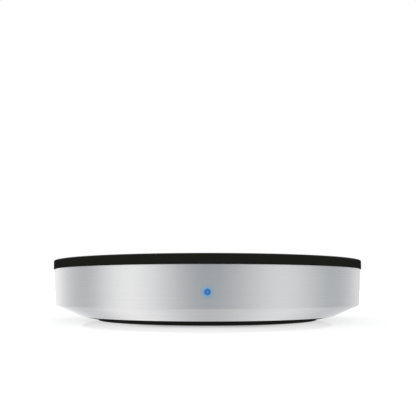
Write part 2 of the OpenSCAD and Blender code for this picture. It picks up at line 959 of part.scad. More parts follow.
// Insulating block and tongue of the USB socket
module usb_insulator() {
    back = port_y - usb_size.y + usb_skin;
    color("#1f1f21")
        union() {
            port_block(usb_x, back + usb_block, pcb_top + usb_skin + running,
                [usb_size.x - 2 * usb_skin - gap, usb_block, usb_size.z - 2 * usb_skin - gap]);
            translate([usb_x - usb_tongue.x / 2, back + usb_block / 2, usb_tongue_z])
                cube(usb_tongue + [0, usb_block / 2, 0]);
        }
}

// Four contact strips under the USB socket's tongue
module usb_contacts() {
    y1 = port_y - usb_size.y + usb_skin + usb_block + usb_strip.y + strip_tip;
    color("#d2ab4c")
        for (x = usb_strip_x)
            port_block(usb_x + x, y1, usb_tongue_z - usb_strip.z, usb_strip);
}

// Body of the power inlet, with a round nose in the panel
module dc_jack() {
    color("#1e1e20")
        difference() {
            union() {
                port_block(dc_x, panel_in_y - dc_back, pcb_top, dc_size);
                bar_y(dc_x, dc_z, dc_nose_r, panel_in_y - over, port_y);
            }
            bar_y(dc_x, dc_z, dc_bore_r, port_y - dc_bore_deep, port_y + over);
        }
}

// Centre pin of the power inlet
module dc_jack_pin() {
    back = port_y - dc_bore_deep;
    color("#d0d2d4")
        translate([dc_x, back, dc_z])
            rotate([-90, 0, 0])
                rotate_extrude()
                    polygon([
                        [0, 0],
                        [dc_pin_r, 0],
                        [dc_pin_r, dc_pin_h - dc_tip],
                        [dc_pin_r - dc_tip, dc_pin_h],
                        [0, dc_pin_h]
                    ]);
}

// Flat spring that presses on the plug's sleeve inside the power inlet
module dc_jack_spring() {
    color("#c9b37a")
        port_block(dc_x, port_y - dc_bore_deep + dc_spring.y, dc_z - dc_bore_r + dc_spring_up, dc_spring);
}

// Body of the side-pressed switch behind the reset button
module tact_switch() {
    color("#2c2c2e")
        difference() {
            port_block(reset_x, switch_face_y, pcb_top, switch_size);
            bar_y(reset_x, reset_z, stem_r + running, switch_face_y - stem_in - reset_travel - gap,
                switch_face_y + over);
        }
}

// Stem of the switch, which the button pushes in
module switch_stem() {
    color("#e6e2d6")
        bar_y(reset_x, reset_z, stem_r, switch_face_y - stem_in, switch_face_y + stem_out);
}

// Reset button, set a little below the panel's face and held behind it by its flange
module reset_button() {
    flange_y = panel_in_y - reset_play;
    color("#3b3b3d")
        union() {
            bar_y(reset_x, reset_z, reset_r, flange_y - reset_flange_t / 2, panel_y - reset_recess);
            bar_y(reset_x, reset_z, reset_flange_r, flange_y - reset_flange_t, flange_y);
            bar_y(reset_x, reset_z, reset_stub_r, switch_face_y + stem_out, flange_y - reset_flange_t / 2);
        }
}

top_lid();
side_shell();
base_plate();
foot_ring();
rear_panel();
led_lens();
rating_label();
ballast_ring();
case_screws();
board_screws();
main_board();
front_board();
status_led();
ir_receiver();
processor();
thermal_pad();
heatsink();
heatsink_pins();
heatsink_springs();
memory_chips();
flash_chip();
network_chip();
network_transformer();
regulator_chips();
power_inductors();
bulk_capacitors();
chip_capacitors();
clock_crystal();
wifi_board();
wifi_shield();
antenna_plug();
antenna_cable();
wifi_antenna();
rj45_shield();
rj45_housing();
rj45_contacts();
rj45_lights();
hdmi_shell();
hdmi_insulator();
hdmi_contacts();
usb_shell();
usb_insulator();
usb_contacts();
dc_jack();
dc_jack_pin();
dc_jack_spring();
tact_switch();
switch_stem();
reset_button();
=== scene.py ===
"""Visual model of the round streaming media player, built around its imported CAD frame.

Shapes are made in millimetres, as in the CAD, and come down to metres when they are put in place.
"""

import json
import math

import bmesh
import bpy
from mathutils import Matrix, Vector


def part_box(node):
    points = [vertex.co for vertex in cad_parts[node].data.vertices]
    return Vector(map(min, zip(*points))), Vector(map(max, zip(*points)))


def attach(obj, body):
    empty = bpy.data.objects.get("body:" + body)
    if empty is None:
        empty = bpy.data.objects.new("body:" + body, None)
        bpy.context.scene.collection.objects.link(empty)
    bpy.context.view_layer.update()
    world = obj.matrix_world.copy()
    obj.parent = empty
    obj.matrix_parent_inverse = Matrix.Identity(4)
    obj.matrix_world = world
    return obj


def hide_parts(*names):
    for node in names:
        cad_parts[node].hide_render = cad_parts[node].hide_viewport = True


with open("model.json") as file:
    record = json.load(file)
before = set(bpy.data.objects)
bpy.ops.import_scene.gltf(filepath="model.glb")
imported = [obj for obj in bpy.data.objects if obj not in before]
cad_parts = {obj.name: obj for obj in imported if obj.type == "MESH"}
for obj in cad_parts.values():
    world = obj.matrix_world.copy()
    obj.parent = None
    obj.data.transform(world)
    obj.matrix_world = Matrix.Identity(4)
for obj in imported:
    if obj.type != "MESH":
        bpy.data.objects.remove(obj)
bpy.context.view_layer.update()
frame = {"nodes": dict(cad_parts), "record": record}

MM = 0.001
NODES = frame["nodes"]
SLOT_OF = {part["node"]: part["material_slot"] for part in frame["record"]["subparts"]}


def extent(node):
    """Lowest and highest corner of a CAD node, in millimetres."""
    low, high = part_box(node)
    return low / MM, high / MM


def middle_of(node):
    """Middle of a CAD node, in millimetres."""
    low, high = extent(node)
    return (low + high) / 2


def size_of(node):
    """Width, depth and height of a CAD node, in millimetres."""
    low, high = extent(node)
    return high - low


# ---------------------------------------------------------------- sizes, in millimetres

LID_LOW, LID_HIGH = extent("top_lid")
SHELL_LOW, SHELL_HIGH = extent("side_shell")
BASE_LOW, BASE_HIGH = extent("base_plate")
FOOT_HIGH = extent("foot_ring")[1]
PANEL_LOW, PANEL_HIGH = extent("rear_panel")

LID_R = LID_HIGH.x
TOTAL_H = LID_HIGH.z
PCB_TOP = LID_LOW.z
PLATE_T = 1.5
UNDER_Z = TOTAL_H - PLATE_T
RIM_Z = SHELL_HIGH.z
GROOVE_R = LID_R - 3.35
GROOVE_HALF = 0.25
GROOVE_DEEP = 0.25
RIM_EDGE = 0.45

SHELL_T = 1.8
SHELL_TOP_R = SHELL_HIGH.x
CREASE_Z = 5.95
WALL_TAPER = 0.6
CREASE_R = SHELL_TOP_R - WALL_TAPER
WALL_SLOPE = (SHELL_TOP_R - CREASE_R) / (RIM_Z - CREASE_Z)
BASE_TOP_R = BASE_HIGH.x
BASE_TOP_Z = SHELL_LOW.z
CHAMFER_SLOPE = (CREASE_Z - BASE_TOP_Z) / (CREASE_R - BASE_TOP_R)
CHAMFER_RISE = SHELL_T * math.hypot(1, CHAMFER_SLOPE)
LIP_W = 1.4
SPIGOT_R = SHELL_TOP_R - SHELL_T - 0.2
SPIGOT_T = 1.2
SPIGOT_H = 1.6

BASE_Z = BASE_LOW.z
FLOOR_T = 2
FLOOR_Z = BASE_Z + FLOOR_T
BASE_RING_H = 1.25
FOOT_R = FOOT_HIGH.x
FOOT_W = 2.2
FOOT_SEAT = FOOT_HIGH.z - BASE_Z
FOOT_OUT = 0.2
BASE_EDGE_R = (FOOT_R - FOOT_OUT) + (BASE_TOP_R - FOOT_R + FOOT_OUT) * BASE_Z / BASE_TOP_Z
LABEL_R = 14
VENTS = 24
VENT_R = (17, 26)
VENT_W = 1.4
SCREW_R = 35.5
SCREW_ANGLES = (14, 166, 232, 308)
WELL_R = 3.0
WELL_FLARE = 0.7
SCREW_HOLE_R = 1.6
SEAT_Z = FLOOR_Z + 0.25
BOSS_R = 3.6
LID_POST_R = 3
LID_PILOT_R = 1.25
BOARD_POST_R = 3.0
BOARD_PILOT_R = 1.15
BOARD_PILOT_Z = 2.8
BOARD_POSTS = ((-7.5, 28.8), (0, -33))
PCB_Z = BASE_HIGH.z

PANEL_Y = 45
PANEL_IN_Y = PANEL_LOW.y
PANEL_HALF = PANEL_HIGH.x
NOTCH_HALF = PANEL_HALF + 0.1
PORT_Y = extent("rj45_shield")[1].y
SHELF_T = 1.2
SHELF_GAP = 0.15
MOUTH = 0.45
SOCKET_GAP = 0.2
FLARE = 0.35

RJ45_MOUTH = Vector((11.8, 12.5, 7))
RJ45_LATCH = Vector((6.2, 9, 1.5))
RJ45_FLOOR = 2.5
RJ45_LIGHT_W = 3
HDMI_CUT = 1.9
HDMI_ROUND = 0.45
POWER_AT = middle_of("dc_jack_pin")
POWER_NOSE_R = 3.7
POWER_BORE_R = 3.1
POWER_DEEP = 10
RESET_AT = middle_of("reset_button")
RESET_R = 1.5
RESET_STUB_R = 0.9
RESET_FLANGE_R = 2.1
RESET_FLANGE_T = 0.8

SCREW_HEAD_R = 2.7
SCREW_HEAD_H = 1.7
SCREW_SHANK_R = 1.2
THREAD_PITCH = 0.9
THREAD_DEEP = 0.22
CROSS_R = 1.35

LED_Z = sum(corner.z for corner in extent("led_lens")) / 2
LENS_R = 1.6
LENS_GAP = 0.05
LENS_RECESS = 0.12

GAP = 0.1
TURNS = 360
SHARP_DEGREES = 32


# ---------------------------------------------------------------- outlines and solids

def rounded(corners, steps=5):
    """Closed outline through (x, y, radius) corners, each rounded to its radius."""
    outline = []
    for i, (x, y, radius) in enumerate(corners):
        here = Vector((x, y))
        if not radius:
            outline.append(here)
            continue
        back = (Vector(corners[i - 1][:2]) - here).normalized()
        ahead = (Vector(corners[(i + 1) % len(corners)][:2]) - here).normalized()
        half = back.angle(ahead) / 2
        centre = here + (back + ahead).normalized() * radius / math.sin(half)
        first = here + back * radius / math.tan(half) - centre
        last = here + ahead * radius / math.tan(half) - centre
        start = math.atan2(first.y, first.x)
        turn = (math.atan2(last.y, last.x) - start + math.pi) % math.tau - math.pi
        for k in range(steps + 1):
            a = start + turn * k / steps
            outline.append(centre + radius * Vector((math.cos(a), math.sin(a))))
    return outline


def rectangle(width, height, radius, grow=0.0, steps=5):
    """Rounded rectangle about the origin, grown outwards by grow."""
    x, y, r = width / 2 + grow, height / 2 + grow, max(radius + grow, 0.01)
    return rounded([(-x, -y, r), (x, -y, r), (x, y, r), (-x, y, r)], steps)


def disc(radius, steps=48):
    """Circle about the origin."""
    return [Vector((radius * math.cos(math.tau * k / steps), radius * math.sin(math.tau * k / steps)))
            for k in range(steps)]


def new_object(name, bm):
    """Object with the bmesh's mesh, its normals made consistent."""
    bmesh.ops.recalc_face_normals(bm, faces=bm.faces)
    mesh = bpy.data.meshes.new(name)
    bm.to_mesh(mesh)
    bm.free()
    made = bpy.data.objects.new(name, mesh)
    bpy.context.scene.collection.objects.link(made)
    return made


def lathe(profile, turns=TURNS):
    """Solid turned about Z from a closed (r, z) profile. Points on the axis become one vertex."""
    bm = bmesh.new()
    rings = []
    for r, z in profile:
        if r < 1e-6:
            rings.append([bm.verts.new((0, 0, z))] * turns)
            continue
        angles = [math.tau * k / turns for k in range(turns)]
        rings.append([bm.verts.new((r * math.sin(a), -r * math.cos(a), z)) for a in angles])
    for i, ring in enumerate(rings):
        above = rings[(i + 1) % len(rings)]
        if ring[0] is ring[1] and above[0] is above[1]:
            continue
        for k in range(turns):
            n = (k + 1) % turns
            corners = [ring[k], ring[n], above[n], above[k]]
            bm.faces.new(list(dict.fromkeys(corners)))
    return new_object("turned", bm)


def loft(sections, name="loft"):
    """Solid through sections of (outline, height), capped at both ends."""
    bm = bmesh.new()
    rings = [[bm.verts.new((p.x, p.y, z)) for p in outline] for outline, z in sections]
    for low, high in zip(rings, rings[1:]):
        for k in range(len(low)):
            n = (k + 1) % len(low)
            bm.faces.new((low[k], low[n], high[n], high[k]))
    bm.faces.new(rings[0])
    bm.faces.new(rings[-1])
    return new_object(name, bm)


def block(low, high, ease=0.0):
    """Box between two corners, its upright and end edges eased."""
    width, depth, tall = (high[i] - low[i] for i in range(3))
    corner = max(ease * 2, 0.02)
    plan = [rectangle(width, depth, corner, -g, 3) for g in (ease, ease * 0.3, 0, 0, ease * 0.3, ease)]
    rises = (0, ease * 0.3, ease, tall - ease, tall - ease * 0.3, tall)
    if not ease:
        plan, rises = [plan[0]] * 2, (0, tall)
    made = loft(list(zip(plan, rises)), "block")
    return shift(made, ((low[0] + high[0]) / 2, (low[1] + high[1]) / 2, low[2]))


def shift(solid, by):
    """Moves a solid's mesh."""
    solid.data.transform(Matrix.Translation(by))
    return solid


def spin(solid, degrees):
    """Turns a solid's mesh about Z."""
    solid.data.transform(Matrix.Rotation(math.radians(degrees), 4, "Z"))
    return solid


def along_y(solid, x, z):
    """Lays a solid made along Z down along Y: its height becomes y, its outline's y becomes z."""
    lay = Matrix(((1, 0, 0, x), (0, 0, 1, 0), (0, 1, 0, z), (0, 0, 0, 1)))
    solid.data.transform(lay)
    solid.data.flip_normals()
    return solid


def combine(target, others, operation):
    """Applies one boolean operation between a solid and others, and removes the others."""
    for other in others:
        step = target.modifiers.new("step", "BOOLEAN")
        step.operation = operation
        step.solver = "EXACT"
        step.object = other
    graph = bpy.context.evaluated_depsgraph_get()
    mesh = bpy.data.meshes.new_from_object(target.evaluated_get(graph))
    target.modifiers.clear()
    target.data = mesh
    for other in others:
        bpy.data.objects.remove(other)
    return target


def carve(target, *cutters):
    """Cuts solids out of a target."""
    return combine(target, cutters, "DIFFERENCE")


def weld(target, *others):
    """Joins solids into a target."""
    return combine(target, others, "UNION")


def clean(target):
    """Merges doubled points and flattens what lies in one plane."""
    bm = bmesh.new()
    bm.from_mesh(target.data)
    bmesh.ops.remove_doubles(bm, verts=bm.verts, dist=0.0005)
    bmesh.ops.dissolve_degenerate(bm, edges=bm.edges, dist=0.0005)
    bm.to_mesh(target.data)
    bm.free()
    return target


def piece(solid, name, slot, *nodes, body="housing"):
    """Brings a finished solid down to metres and lets it stand for CAD nodes."""
    solid.name = name
    solid.data.name = name
    solid.data.transform(Matrix.Scale(MM, 4))
    solid.data.shade_smooth()
    solid.data.set_sharp_from_angle(angle=math.radians(SHARP_DEGREES))
    solid.data.materials.clear()
    solid.data.materials.append(LOOKS[slot])
    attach(solid, body)
    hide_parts(*nodes)
    return solid


def edged(made, low, high):
    """Gives the outer faces of a piece, between two heights, the matt edge look."""
    made.data.materials.append(EDGE_LOOK)
    inner = BASE_EDGE_R - 0.2
    for face in made.data.polygons:
        if low * MM < face.center.z < high * MM and face.center.xy.length > inner * MM:
            face.material_index = 1
    return made


# ---------------------------------------------------------------- material kit

class Look:
    """A node material around one Principled shader, with short calls for what feeds it."""

    def __init__(self, name, **settings):
        self.material = bpy.data.materials.new(name)
        self.material.use_nodes = True
        self.tree = self.material.node_tree
        self.shader = self.tree.nodes["Principled BSDF"]
        self.where = self.tree.nodes.new("ShaderNodeTexCoord").outputs["Object"]
        for socket, value in settings.items():
            self.shader.inputs[socket.replace("_", " ")].default_value = value

    def feed(self, socket, value):
        """Links a socket to an output, or sets its value."""
        if isinstance(value, bpy.types.NodeSocket):
            self.tree.links.new(value, socket)
        else:
            socket.default_value = value

    def node(self, kind, *inputs, **settings):
        """A new node with its settings, and its inputs fed in order. None leaves an input as it is."""
        made = self.tree.nodes.new("ShaderNode" + kind)
        for key, value in settings.items():
            setattr(made, key, value)
        for socket, value in zip(made.inputs, inputs):
            if value is not None:
                self.feed(socket, value)
        return made

    def math(self, operation, a, b=0.0):
        return self.node("Math", a, b, operation=operation).outputs[0]

    def stretched(self, x, y, z):
        """The object's coordinates, scaled on each axis."""
        return self.node("Mapping", self.where, None, None, (x, y, z)).outputs[0]

    def noise(self, size, detail=3.0, roughness=0.55, where=None):
        """Noise whose features are about size millimetres across."""
        made = self.node("TexNoise", where or self.where)
        made.inputs["Scale"].default_value = 1 / (size * MM)
        made.inputs["Detail"].default_value = detail
        made.inputs["Roughness"].default_value = roughness
        return made.outputs[0]

    def cells(self, size):
        """Distance to the nearest of many scattered points, about size millimetres apart."""
        made = self.node("TexVoronoi", self.where, feature="F1")
        made.inputs["Scale"].default_value = 1 / (size * MM)
        return made.outputs["Distance"]

    def between(self, value, low, high, to_low=0.0, to_high=1.0):
        """Maps low..high smoothly to to_low..to_high, held at the ends."""
        made = self.node("MapRange", value, low, high, to_low, to_high, interpolation_type="SMOOTHSTEP")
        return made.outputs[0]

    def blend(self, factor, first, second):
        """Colour mixed from first to second."""
        made = self.node("Mix", data_type="RGBA")
        for socket, value in zip([made.inputs[i] for i in (0, 6, 7)], (factor, first, second)):
            self.feed(socket, value)
        return made.outputs[2]

    def radius(self):
        """Distance from the player's axis, in metres."""
        flat = self.node("VectorMath", self.where, (1, 1, 0), operation="MULTIPLY").outputs[0]
        return self.node("VectorMath", flat, operation="LENGTH").outputs["Value"]

    def from_light(self):
        """Distance from the status light's own axis, in metres."""
        level = self.node("VectorMath", self.where, (0, 0, -LED_Z * MM), operation="ADD").outputs[0]
        face = self.node("VectorMath", level, (1, 0, 1), operation="MULTIPLY").outputs[0]
        return self.node("VectorMath", face, operation="LENGTH").outputs["Value"]

    def height(self):
        """Height above the table, in metres."""
        return self.node("SeparateXYZ", self.where).outputs["Z"]

    def colour(self, value):
        self.feed(self.shader.inputs["Base Color"], value)

    def rough(self, value):
        self.feed(self.shader.inputs["Roughness"], value)

    def bump(self, *layers, start=None):
        """Bump from (height, depth in millimetres) layers, on top of a normal."""
        normal = start
        for height, depth in layers:
            made = self.node("Bump", 1.0, depth * MM)
            self.feed(made.inputs["Height"], height)
            if normal:
                self.feed(made.inputs["Normal"], normal)
            normal = made.outputs[0]
        self.feed(self.shader.inputs["Normal"], normal)


def rgb(r, g, b):
    return (r, g, b, 1.0)


def tinted(colour, factor):
    return tuple(min(c * factor, 1.0) for c in colour[:3]) + (1.0,)


def moulded(name, colour, roughness, grain=0.3, depth=0.006, mottle=0.15, **settings):
    """Moulded plastic or rubber: spark texture, soft mottling and patches rubbed smoother."""
    look = Look(name, **settings)
    cloud = look.noise(9, 4)
    rubbed = look.noise(2.5, 5, 0.7)
    look.colour(look.blend(cloud, tinted(colour, 1 - mottle), tinted(colour, 1 + mottle)))
    look.rough(look.between(rubbed, 0.3, 0.7, roughness - 0.06, roughness + 0.07))
    look.bump((look.noise(grain, 2), depth), (look.noise(14, 2), depth * 3))
    return look


def metal(name, colour, roughness, line=(1, 1, 1), depth=0.002, stain=0.12):
    """Bare or plated metal: fine rolling lines, smudges and faint staining."""
    look = Look(name, Metallic=1.0)
    smudge = look.noise(4, 5, 0.65)
    lines = look.noise(0.35, 3, 0.7, look.stretched(*line))
    look.colour(look.blend(smudge, tinted(colour, 1 - stain), tinted(colour, 1 + stain / 2)))
    look.rough(look.between(smudge, 0.25, 0.75, roughness + 0.08, roughness - 0.05))
    look.bump((lines, depth))
    return look


def printed_board(name, mask, track):
    """Solder mask with tracks, pads and plated through holes showing."""
    look = Look(name)
    weave = look.noise(0.4, 2)
    slanted = look.node("Mapping", look.where, None, (0, 0, math.radians(45))).outputs[0]
    tracks = look.node("TexBrick", slanted)
    tracks.inputs["Scale"].default_value = 1 / (3.2 * MM)
    tracks.inputs["Mortar Size"].default_value = 0.05
    tracks.inputs["Mortar Smooth"].default_value = 0.2
    holes = look.between(look.cells(4.5), 0.10, 0.13, 1.0, 0.0)
    masked = look.blend(tracks.outputs["Fac"], mask, track)
    mottled = look.blend(look.noise(12), masked, tinted(mask, 1.4))
    look.colour(look.blend(holes, mottled, rgb(0.62, 0.56, 0.42)))
    look.feed(look.shader.inputs["Metallic"], holes)
    look.rough(look.between(weave, 0.3, 0.7, 0.28, 0.42))
    look.bump((tracks.outputs["Fac"], 0.02), (weave, 0.004))
    return look


# ---------------------------------------------------------------- looks of the outside

# How strongly the faces of the turned lines lean outwards, against the true surface
GROOVE_LEAN = 5.0


def silver_shell():
    """Turned and anodised aluminium: lines round the axis, which stretch every highlight up and down.

    The turning leaves fine steps, whose faces look more outwards than the chamfer that they make up.
    """
    look = Look("silver_shell", Metallic=1.0, Anisotropic=0.8, Anisotropic_Rotation=0.25)
    tangent = look.node("Tangent", direction_type="RADIAL", axis="Z")
    look.feed(look.shader.inputs["Tangent"], tangent.outputs[0])
    round_lines = look.node("CombineXYZ", look.radius(), 0.0, look.height()).outputs[0]
    lines = look.noise(0.12, 2, 0.6, round_lines)
    broad = look.noise(1.1, 2, 0.5, round_lines)
    cloud = look.noise(16, 3)
    tone = look.blend(cloud, rgb(0.79, 0.79, 0.795), rgb(0.81, 0.81, 0.815))
    tone = look.blend(look.between(broad, 0.35, 0.65, 0.0, 0.3), tone, rgb(0.775, 0.775, 0.785))
    # Painted glow: the status light's blue light falling on the silver round the lens is painted into the
    # metal's colour
    painted_led_glow = look.between(look.from_light(), (LENS_R - 0.4) * MM, (LENS_R + 1.1) * MM, 1.0, 0.0)
    tone = look.blend(painted_led_glow, tone, rgb(0.55, 0.74, 0.88))
    outward = look.node("VectorMath", look.where, (1, 1, 0), operation="MULTIPLY").outputs[0]
    outward = look.node("VectorMath", outward, operation="NORMALIZE").outputs[0]
    true_normal = look.node("NewGeometry").outputs["Normal"]
    side = look.node("VectorMath", outward, true_normal, operation="DOT_PRODUCT").outputs["Value"]
    # Faces that look less straight outwards than the wall, the chamfer above all, are painted lighter: a
    # painted highlight
    look.colour(look.blend(look.between(side, 0.4, 0.8, 1.0, 0.0), tone, rgb(0.87, 0.87, 0.875)))
    look.rough(look.between(lines, 0.3, 0.7, 0.27, 0.33))
    outer = look.between(side, 0.1, 0.3, 0.0, 1.0)
    groove_faces = look.node("VectorMath", outward, operation="SCALE")
    look.feed(groove_faces.inputs["Scale"], look.math("MULTIPLY", outer, GROOVE_LEAN))
    leaned = look.node("VectorMath", true_normal, groove_faces.outputs[0], operation="ADD").outputs[0]
    leaned = look.node("VectorMath", leaned, operation="NORMALIZE").outputs[0]
    look.bump((lines, 0.0006), (look.noise(0.09, 1), 0.0005), start=leaned)
    return look


def black_gloss():
    """Polished black plastic: hairline scratches, a trace of dust and a slightly rubbed rim."""
    look = Look("black_gloss", Specular_IOR_Level=0.3)
    dust = look.between(look.noise(0.22, 2, 0.8), 0.66, 0.80)
    cloud = look.noise(20, 3)
    rim = look.between(look.radius(), (LID_R - 0.5) * MM, LID_R * MM)
    worn = look.math("MULTIPLY", rim, look.between(look.noise(1.2, 4, 0.7), 0.52, 0.7, 0.0, 0.5))
    deep = look.blend(cloud, rgb(0.0040, 0.0040, 0.0036), rgb(0.0054, 0.0054, 0.0048))
    dusted = look.blend(look.math("MULTIPLY", dust, 0.05), deep, rgb(0.08, 0.08, 0.078))
    look.colour(look.blend(look.math("MULTIPLY", worn, 0.10), dusted, rgb(0.03, 0.03, 0.028)))
    scratches = look.noise(0.5, 2, 0.6, look.stretched(1, 14, 1))
    polish = look.between(look.noise(9, 4), 0.3, 0.7, 0.21, 0.25)
    look.rough(look.math("ADD", polish, look.math("MULTIPLY", worn, 0.2)))
    look.bump((scratches, 0.0006), (look.noise(30, 1), 0.001))
    return look


def black_satin():
    """Black underside and panel: a fine spark texture with faint scuffs."""
    return moulded("black_satin", rgb(0.0085, 0.0085, 0.0078), 0.5, 0.16, 0.008, 0.2, Specular_IOR_Level=0.3)


def black_edge():
    """Dead matt black of the lid's rim and the base's edge: the same texture with no gloss at all."""
    return moulded("black_edge", rgb(0.0105, 0.0105, 0.0088), 0.9, 0.16, 0.004, 0.12, Specular_IOR_Level=0.0)


def status_lens():
    """Clear blue light guide: a pale heart, a deep ring round it and a soft glow out to the edge."""
    look = Look("lens_clear", Specular_IOR_Level=0.2)
    out = look.from_light()
    heart = look.between(out, 0.05 * MM, 0.6 * MM)
    glow = look.between(out, 0.75 * MM, 1.2 * MM)
    fade = look.between(out, 1.2 * MM, LENS_R * MM)
    grain = look.noise(0.3, 2)
    core = look.blend(heart, rgb(0.090, 0.225, 0.56), rgb(0.022, 0.125, 0.345))
    halo = look.blend(fade, rgb(0.17, 0.34, 0.56), rgb(0.25, 0.34, 0.45))
    light = look.blend(glow, core, halo)
    look.colour(look.blend(grain, rgb(0.006, 0.012, 0.024), rgb(0.010, 0.018, 0.034)))
    look.feed(look.shader.inputs["Emission Color"], light)
    look.shader.inputs["Emission Strength"].default_value = 1.0
    look.rough(look.between(grain, 0.3, 0.7, 0.18, 0.28))
    look.bump((grain, 0.004))
    return look


def label_film():
    """Blank matt label with a fine border ring and a soft paper grain."""
    look = Look("label_film", Specular_IOR_Level=0.3)
    ring = look.between(look.radius(), (LABEL_R - 1.05) * MM, (LABEL_R - 1.0) * MM)
    inner = look.between(look.radius(), (LABEL_R - 0.8) * MM, (LABEL_R - 0.75) * MM, 1.0, 0.0)
    line = look.math("MULTIPLY", ring, inner)
    paper = look.blend(look.noise(3, 4), rgb(0.50, 0.50, 0.49), rgb(0.60, 0.60, 0.585))
    look.colour(look.blend(line, paper, rgb(0.10, 0.10, 0.10)))
    look.rough(look.between(look.noise(0.5), 0.3, 0.7, 0.5, 0.65))
    look.bump((look.noise(0.12, 2), 0.004))
    return look


def glowing(name, colour, strength):
    """Lit plastic with a cloudy heart."""
    look = Look(name, Emission_Strength=strength)
    cloud = look.noise(0.8, 3)
    shade = look.blend(cloud, tinted(colour, 0.7), colour)
    look.colour(shade)
    look.feed(look.shader.inputs["Emission Color"], shade)
    look.rough(look.between(cloud, 0.3, 0.7, 0.25, 0.4))
    look.bump((cloud, 0.01))
    return look


def make_looks():
    """One material for each slot of the record."""
    steel = rgb(0.58, 0.59, 0.61)
    made = {
        "black_gloss": black_gloss(),
        "black_satin": black_satin(),
        "silver_shell": silver_shell(),
        "lens_clear": status_lens(),
        "label_film": label_film(),
        "foot_rubber": moulded("foot_rubber", rgb(0.022, 0.022, 0.022), 0.75, 0.35, 0.02, 0.25),
        "led_blue": glowing("led_blue", rgb(0.06, 0.22, 0.75), 0.6),
        "link_light": moulded("link_light", rgb(0.30, 0.50, 0.20), 0.3, 0.5, 0.004),
        "steel_plated": metal("steel_plated", steel, 0.32, (1, 8, 1)),
        "steel_black": metal("steel_black", rgb(0.045, 0.045, 0.05), 0.38, (1, 1, 6), 0.003, 0.3),
        "spring_steel": metal("spring_steel", rgb(0.5, 0.51, 0.53), 0.25),
        "board_green": printed_board("board_green", rgb(0.008, 0.075, 0.028), rgb(0.02, 0.15, 0.06)),
        "board_blue": printed_board("board_blue", rgb(0.008, 0.03, 0.10), rgb(0.02, 0.07, 0.2)),
        "chip_black": moulded("chip_black", rgb(0.022, 0.022, 0.024), 0.6, 0.1, 0.006),
        "pad_grey": moulded("pad_grey", rgb(0.3, 0.38, 0.48), 0.7, 0.4, 0.02),
        "sink_aluminium": metal("sink_aluminium", rgb(0.62, 0.63, 0.65), 0.35, (6, 1, 1)),
        "nylon_white": moulded("nylon_white", rgb(0.66, 0.65, 0.60), 0.45, 0.4, 0.004, 0.06),
        "ferrite": moulded("ferrite", rgb(0.07, 0.07, 0.075), 0.65, 0.15, 0.012, 0.25),
        "can_aluminium": metal("can_aluminium", rgb(0.68, 0.69, 0.70), 0.22, (1, 1, 5)),
        "ceramic_tan": moulded("ceramic_tan", rgb(0.36, 0.26, 0.15), 0.5, 0.1, 0.004, 0.2),
        "tin_plate": metal("tin_plate", rgb(0.64, 0.65, 0.67), 0.26, (1, 1, 9)),
        "gold_plate": metal("gold_plate", rgb(0.80, 0.58, 0.22), 0.24, (1, 6, 1)),
        "insulator_black": moulded("insulator_black", rgb(0.012, 0.012, 0.013), 0.42, 0.2, 0.005),
        "cable_jacket": moulded("cable_jacket", rgb(0.02, 0.02, 0.022), 0.35, 0.3, 0.004),
        "button_grey": moulded("button_grey", rgb(0.035, 0.035, 0.037), 0.4, 0.18, 0.006),
    }
    return {slot: look.material for slot, look in made.items()}


LOOKS = make_looks()
EDGE_LOOK = black_edge().material
for part_name, part_node in NODES.items():
    part_node.data.materials.clear()
    part_node.data.materials.append(LOOKS[SLOT_OF[part_name]])


# ---------------------------------------------------------------- enclosure pieces

def wall_r(z):
    """Radius of the shell's outer wall at height z."""
    return CREASE_R + (z - CREASE_Z) * WALL_SLOPE


def chamfer_in_r(z):
    """Radius of the chamfer's inner face at height z."""
    return BASE_TOP_R + (z - BASE_TOP_Z - CHAMFER_RISE) / CHAMFER_SLOPE


def chamfer_in_z(r):
    """Height of the chamfer's inner face at radius r."""
    return BASE_TOP_Z + CHAMFER_RISE + (r - BASE_TOP_R) * CHAMFER_SLOPE


def at_screws(make):
    """One solid at each case screw."""
    return [spin(shift(make(), (SCREW_R, 0, 0)), angle) for angle in SCREW_ANGLES]


def make_lid():
    """Black lid: rounded rim, ring groove, spigot inside the shell and four screw posts."""
    groove_z = TOTAL_H - GROOVE_DEEP
    groove = [(GROOVE_R + GROOVE_HALF, TOTAL_H, 0.06), (GROOVE_R + GROOVE_HALF * 0.4, groove_z, 0.05),
              (GROOVE_R - GROOVE_HALF * 0.4, groove_z, 0.05), (GROOVE_R - GROOVE_HALF, TOTAL_H, 0.06)]
    lid = lathe(rounded([
        (0, UNDER_Z, 0),
        (SPIGOT_R - SPIGOT_T, UNDER_Z, 0.2),
        (SPIGOT_R - SPIGOT_T, RIM_Z - SPIGOT_H, 0.2),
        (SPIGOT_R, RIM_Z - SPIGOT_H, 0.3),
        (SPIGOT_R, RIM_Z, 0.05),
        (LID_R, RIM_Z, 0.12),
        (LID_R, TOTAL_H, RIM_EDGE),
        *groove,
        (0, TOTAL_H, 0)]))
    notch = block((-NOTCH_HALF - 1, 0, RIM_Z - SPIGOT_H - 1), (NOTCH_HALF + 1, LID_R, RIM_Z))
    carve(lid, notch)
    post = rounded([
        (LID_PILOT_R, PCB_TOP, 0.1),
        (LID_POST_R, PCB_TOP, 0.25),
        (LID_POST_R, UNDER_Z + 0.5, 0),
        (LID_PILOT_R, UNDER_Z + 0.5, 0)], 3)
    weld(lid, *at_screws(lambda: lathe(post, 48)))
    cover = piece(clean(lid), "lid_cover", "black_gloss", "top_lid")
    return edged(cover, 0, TOTAL_H - RIM_EDGE * 0.6)


